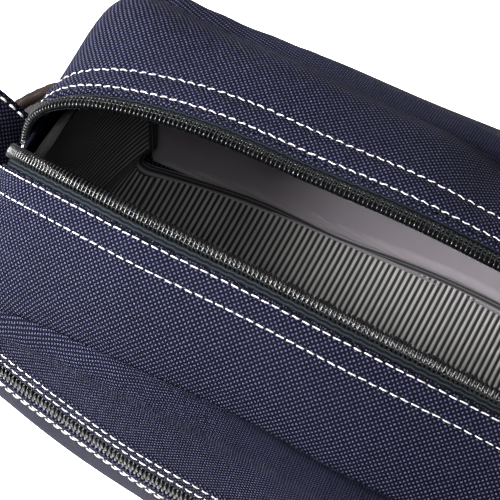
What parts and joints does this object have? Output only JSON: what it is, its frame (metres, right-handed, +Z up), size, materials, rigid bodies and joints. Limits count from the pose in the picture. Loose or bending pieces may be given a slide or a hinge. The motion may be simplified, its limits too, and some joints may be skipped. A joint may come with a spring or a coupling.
{
  "type": "shaving kit bag",
  "caption": "Soft boxy wash bag in navy basket-weave fabric: arched zip mouth standing open, zipped front pocket, ribbed lining, leather carry handle on one end.",
  "frame": {"origin": "under the middle of the bottom panel, on the surface the bag stands on", "axes": "+X along the length away from the handle, -Y towards the pocket side, +Z up"},
  "size_m": [0.2893, 0.133, 0.1257],
  "materials": {
    "navy_canvas": "coarse basket weave",
    "ribbed_lining": "pinstripe rib",
    "plain_lining": "smooth plain weave",
    "binding_tape": "lengthwise rib",
    "zip_tape": "fine twill",
    "zip_coil": "satin",
    "thread": "twisted thread",
    "stiffener_board": "plain sheet",
    "gunmetal": "dark satin plating",
    "leather": "smooth waxed"
  },
  "bodies": {
    "shell": {"front_panel_upper": "navy_canvas", "front_panel_lower": "navy_canvas", "back_panel": "navy_canvas", "bottom_panel": "navy_canvas", "left_end_panel": "navy_canvas", "right_end_panel": "navy_canvas", "base_stiffener": "stiffener_board", "pocket_pouch": "plain_lining", "front_lining": "plain_lining", "rear_lining": "plain_lining", "floor_lining": "ribbed_lining", "left_end_lining": "ribbed_lining", "right_end_lining": "ribbed_lining", "front_floor_binding": "binding_tape", "rear_floor_binding": "binding_tape", "front_left_binding": "binding_tape", "front_right_binding": "binding_tape", "rear_left_binding": "binding_tape", "rear_right_binding": "binding_tape", "left_zip_tab": "navy_canvas", "right_zip_tab": "navy_canvas", "closed_tape": "zip_tape", "closed_chain": "zip_coil", "bottom_stop": "gunmetal", "pocket_tape_upper": "zip_tape", "pocket_tape_lower": "zip_tape", "pocket_coil_upper": "zip_coil", "pocket_coil_lower": "zip_coil", "pocket_stops": "gunmetal", "front_handle_lug": "leather", "rear_handle_lug": "leather"},
    "front_flap": {"front_top_panel": "navy_canvas", "front_facing": "plain_lining", "front_zip_tape": "zip_tape", "front_coil": "zip_coil"},
    "rear_flap": {"rear_top_panel": "navy_canvas", "rear_facing": "plain_lining", "rear_zip_tape": "zip_tape", "rear_coil": "zip_coil"},
    "main_slider": {"main_slider": "gunmetal"},
    "main_puller": {"main_puller": "gunmetal"},
    "pocket_slider": {"pocket_slider": "gunmetal"},
    "pocket_puller": {"pocket_puller": "gunmetal"},
    "handle": {"handle_strap": "leather"}
  },
  "joints": [
    {"name": "mouth_front", "type": "hinge", "parent": "shell", "child": "front_flap", "pos_m": [0, 0, 0.083], "axis": [-1, 0, 0], "range_deg": [0, 17.8]},
    {"name": "mouth_rear", "type": "hinge", "parent": "shell", "child": "rear_flap", "pos_m": [0, 0, 0.083], "axis": [1, 0, 0], "range_deg": [0, 17.8]},
    {"name": "main_slider_travel", "type": "slide", "parent": "shell", "child": "main_slider", "axis": [0, 0, 1], "range_m": [-0.018, 0]},
    {"name": "main_puller_swing", "type": "hinge", "parent": "main_slider", "child": "main_puller", "pos_m": [0.13565, 0, 0.0788], "axis": [0, -1, 0], "range_deg": [0, 150]},
    {"name": "pocket_slider_travel", "type": "hinge", "parent": "shell", "child": "pocket_slider", "pos_m": [0, 0.53474, 0.071], "axis": [0, 0, 1], "range_deg": [-17.4, 0]},
    {"name": "pocket_puller_swing", "type": "hinge", "parent": "pocket_slider", "child": "pocket_puller", "pos_m": [0.09997, -0.06048, 0.071], "axis": [0.16, -0.9871, 0], "range_deg": [-40, 40]},
    {"name": "handle_swing", "type": "hinge", "parent": "shell", "child": "handle", "pos_m": [-0.1313, 0, 0.045], "axis": [0, 1, 0], "range_deg": [-35, 35]}
  ],
  "couplings": [
    {"joint": "mouth_rear", "follows": "mouth_front", "ratio": 1}
  ]
}
